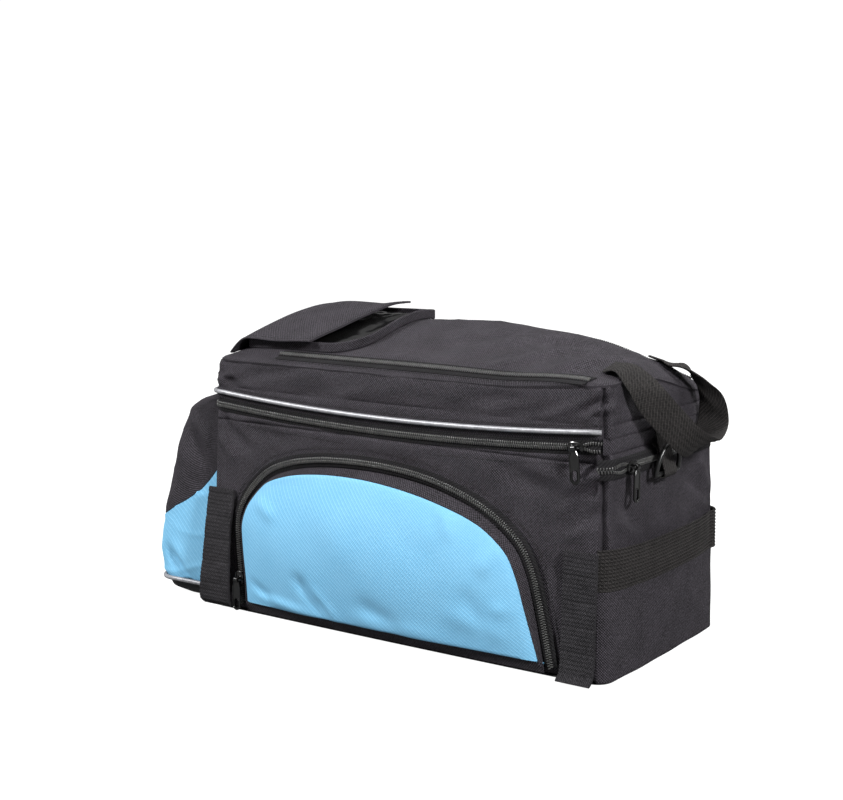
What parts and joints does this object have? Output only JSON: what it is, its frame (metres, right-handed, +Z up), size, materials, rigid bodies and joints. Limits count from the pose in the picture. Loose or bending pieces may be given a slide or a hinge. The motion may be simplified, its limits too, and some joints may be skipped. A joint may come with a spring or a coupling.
{
  "type": "bicycle rack bag",
  "caption": "Soft zipped rack bag with arch side pockets, rounded end pocket, flap pocket on the lid, carrying strap and hook-and-loop straps.",
  "frame": {"origin": "middle of the base panel, on the surface that the bag stands on", "axes": "+X along the bag towards the end with the carrying strap, -Y out of the front long side, +Z up"},
  "size_m": [0.4978, 0.2394, 0.2599],
  "materials": {
    "black_cloth": "black woven polyester with a fine grain, slightly faded",
    "blue_cloth": "sky-blue woven polyester with a visible diagonal weave",
    "coated_cloth": "black cloth with a smooth waterproof coating",
    "reflective_edging": "silver-grey reflective edging",
    "zip_tape": "black zip tape with a black coil",
    "webbing": "ribbed black webbing and elastic",
    "hook_and_loop": "black hook-and-loop strap",
    "black_metal": "glossy black enamelled metal",
    "black_plastic": "moulded black plastic",
    "clear_vinyl": "clear flexible vinyl"
  },
  "bodies": {
    "bag": {"main_body": "black_cloth", "lid_hinge_strip": "black_cloth", "lid_band": "black_cloth", "lid_top": "black_cloth", "front_pocket_border": "black_cloth", "back_pocket_border": "black_cloth", "end_pocket_top": "black_cloth", "end_pouch": "black_cloth", "flap_pocket_rim": "black_cloth", "flap": "black_cloth", "front_pocket_panel": "blue_cloth", "back_pocket_panel": "blue_cloth", "end_pocket_panel": "blue_cloth", "base_panel": "coated_cloth", "end_pocket_base": "coated_cloth", "reflective_piping": "reflective_edging", "end_pocket_piping": "reflective_edging", "main_zip": "zip_tape", "top_zip_front": "zip_tape", "top_zip_back": "zip_tape", "front_pocket_zip": "zip_tape", "back_pocket_zip": "zip_tape", "end_zip": "zip_tape", "elastic_band": "webbing", "d_ring_tab": "webbing", "carrying_strap": "webbing", "front_right_strap": "hook_and_loop", "front_left_strap": "hook_and_loop", "back_right_strap": "hook_and_loop", "back_left_strap": "hook_and_loop", "main_zip_slider": "black_metal", "front_pocket_slider": "black_metal", "back_pocket_slider": "black_metal", "end_zip_slider": "black_metal", "flap_pocket_window": "clear_vinyl"},
    "main_pull": {"main_zip_pull": "black_metal"},
    "end_pull": {"end_zip_pull": "black_metal"},
    "front_pocket_pull_body": {"front_pocket_pull": "black_metal"},
    "back_pocket_pull_body": {"back_pocket_pull": "black_metal"},
    "carry_ring": {"d_ring": "black_plastic"}
  },
  "joints": [
    {"name": "main_pull_swing", "type": "hinge", "parent": "bag", "child": "main_pull", "pos_m": [0.16611, -0.09797, 0.17577], "axis": [-0.9971, -0.0167, -0.0743], "range_deg": [0, 115]},
    {"name": "end_pull_swing", "type": "hinge", "parent": "bag", "child": "end_pull", "pos_m": [0.19943, -0.06225, 0.16], "axis": [-0.0283, -0.9996, 0], "range_deg": [0, 115]},
    {"name": "front_pocket_pull_swing", "type": "hinge", "parent": "bag", "child": "front_pocket_pull_body", "pos_m": [-0.15433, -0.10425, 0.03], "axis": [-1, 0, 0], "range_deg": [0, 115]},
    {"name": "back_pocket_pull_swing", "type": "hinge", "parent": "bag", "child": "back_pocket_pull_body", "pos_m": [-0.15433, 0.10425, 0.03], "axis": [1, 0, 0], "range_deg": [0, 115]},
    {"name": "carry_ring_swing", "type": "hinge", "parent": "bag", "child": "carry_ring", "pos_m": [0.20064, -0.015, 0.149], "axis": [0, 1, 0], "range_deg": [-8, 10]}
  ]
}
